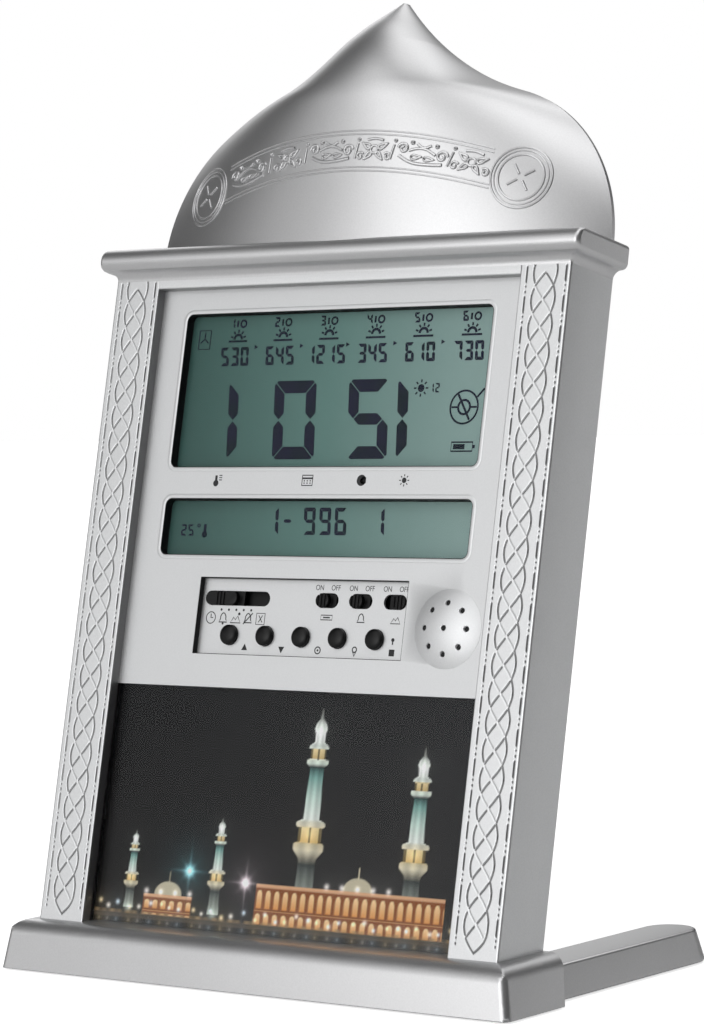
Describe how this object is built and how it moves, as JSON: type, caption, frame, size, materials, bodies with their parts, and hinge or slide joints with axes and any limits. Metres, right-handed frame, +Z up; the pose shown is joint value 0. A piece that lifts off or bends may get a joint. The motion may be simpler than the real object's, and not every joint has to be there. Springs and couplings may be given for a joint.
{
  "type": "azan clock",
  "caption": "Leaning table clock with an onion-dome crown, pilastered silver front, display windows, buttons, slide switches and picture panel on a plinth with rear legs.",
  "frame": {"origin": "on the table under the middle of the footprint", "axes": "+X to the right as seen from the front, +Y from the front to the back, +Z up; the body leans back 13 degrees towards +Y"},
  "size_m": [0.1346, 0.0852, 0.2079],
  "materials": {
    "silver_housing": "satin silver paint on moulded ABS",
    "silver_panel": "smooth silver-grey moulded ABS",
    "clear_window": "clear acrylic sheet",
    "display_glass": "liquid-crystal glass over a grey-green reflector",
    "contact_rubber": "soft carbon-layered rubber and foam",
    "white_plastic": "plain white moulding",
    "circuit_board": "green solder mask",
    "black_plastic": "moulded black plastic",
    "steel": "plated steel",
    "cone_paper": "pressed black paper",
    "picture_paper": "printed card, dark night scene",
    "battery_jacket": "plain shrink jacket",
    "foot_rubber": "matt rubber"
  },
  "bodies": {
    "case": {"front_housing": "silver_housing", "dome_crown": "silver_housing", "dome_back_plate": "silver_housing", "face_panel": "silver_panel", "clock_lens": "clear_window", "date_lens": "clear_window", "clock_display": "display_glass", "date_display": "display_glass", "zebra_strips": "contact_rubber", "display_frame": "white_plastic", "main_board": "circuit_board", "board_components": "black_plastic", "key_board": "circuit_board", "ribbon_cable": "white_plastic", "tact_switches": "black_plastic", "slide_switches": "black_plastic", "speaker_gasket": "contact_rubber", "speaker_basket": "steel", "speaker_cone": "cone_paper", "speaker_magnet": "steel", "picture_window": "clear_window", "picture_card": "picture_paper", "rear_cover": "silver_housing", "battery_lower": "battery_jacket", "battery_upper": "battery_jacket", "contact_plates": "steel", "contact_springs": "steel", "housing_screws": "steel", "board_screws": "steel", "base_screws": "steel", "base_plinth": "silver_housing", "leg_left": "silver_housing", "leg_right": "silver_housing", "rubber_feet": "foot_rubber"},
    "button_up": {"button_up": "black_plastic"},
    "button_down": {"button_down": "black_plastic"},
    "button_set": {"button_set": "black_plastic"},
    "button_city": {"button_city": "black_plastic"},
    "button_stop": {"button_stop": "black_plastic"},
    "mode_slider": {"mode_knob": "black_plastic"},
    "switch_left": {"switch_knob_left": "black_plastic"},
    "switch_middle": {"switch_knob_middle": "black_plastic"},
    "switch_right": {"switch_knob_right": "black_plastic"},
    "battery_cover": {"battery_door": "silver_housing"}
  },
  "joints": [
    {"name": "press_up", "type": "slide", "parent": "case", "child": "button_up", "axis": [0, 0.9744, -0.225], "range_m": [0, 0.0006], "stiffness_N_per_m": 500, "springref_m": -0.0006},
    {"name": "press_down", "type": "slide", "parent": "case", "child": "button_down", "axis": [0, 0.9744, -0.225], "range_m": [0, 0.0006], "stiffness_N_per_m": 500, "springref_m": -0.0006},
    {"name": "press_set", "type": "slide", "parent": "case", "child": "button_set", "axis": [0, 0.9744, -0.225], "range_m": [0, 0.0006], "stiffness_N_per_m": 500, "springref_m": -0.0006},
    {"name": "press_city", "type": "slide", "parent": "case", "child": "button_city", "axis": [0, 0.9744, -0.225], "range_m": [0, 0.0006], "stiffness_N_per_m": 500, "springref_m": -0.0006},
    {"name": "press_stop", "type": "slide", "parent": "case", "child": "button_stop", "axis": [0, 0.9744, -0.225], "range_m": [0, 0.0006], "stiffness_N_per_m": 500, "springref_m": -0.0006},
    {"name": "mode_slide", "type": "slide", "parent": "case", "child": "mode_slider", "axis": [1, 0, 0], "range_m": [0, 0.0082]},
    {"name": "switch_left_slide", "type": "slide", "parent": "case", "child": "switch_left", "axis": [1, 0, 0], "range_m": [0, 0.0023]},
    {"name": "switch_middle_slide", "type": "slide", "parent": "case", "child": "switch_middle", "axis": [1, 0, 0], "range_m": [0, 0.0023]},
    {"name": "switch_right_slide", "type": "slide", "parent": "case", "child": "switch_right", "axis": [1, 0, 0], "range_m": [-0.0023, 0]},
    {"name": "battery_cover_slide", "type": "slide", "parent": "case", "child": "battery_cover", "axis": [0, 0.225, 0.9744], "range_m": [0, 0.032]}
  ]
}
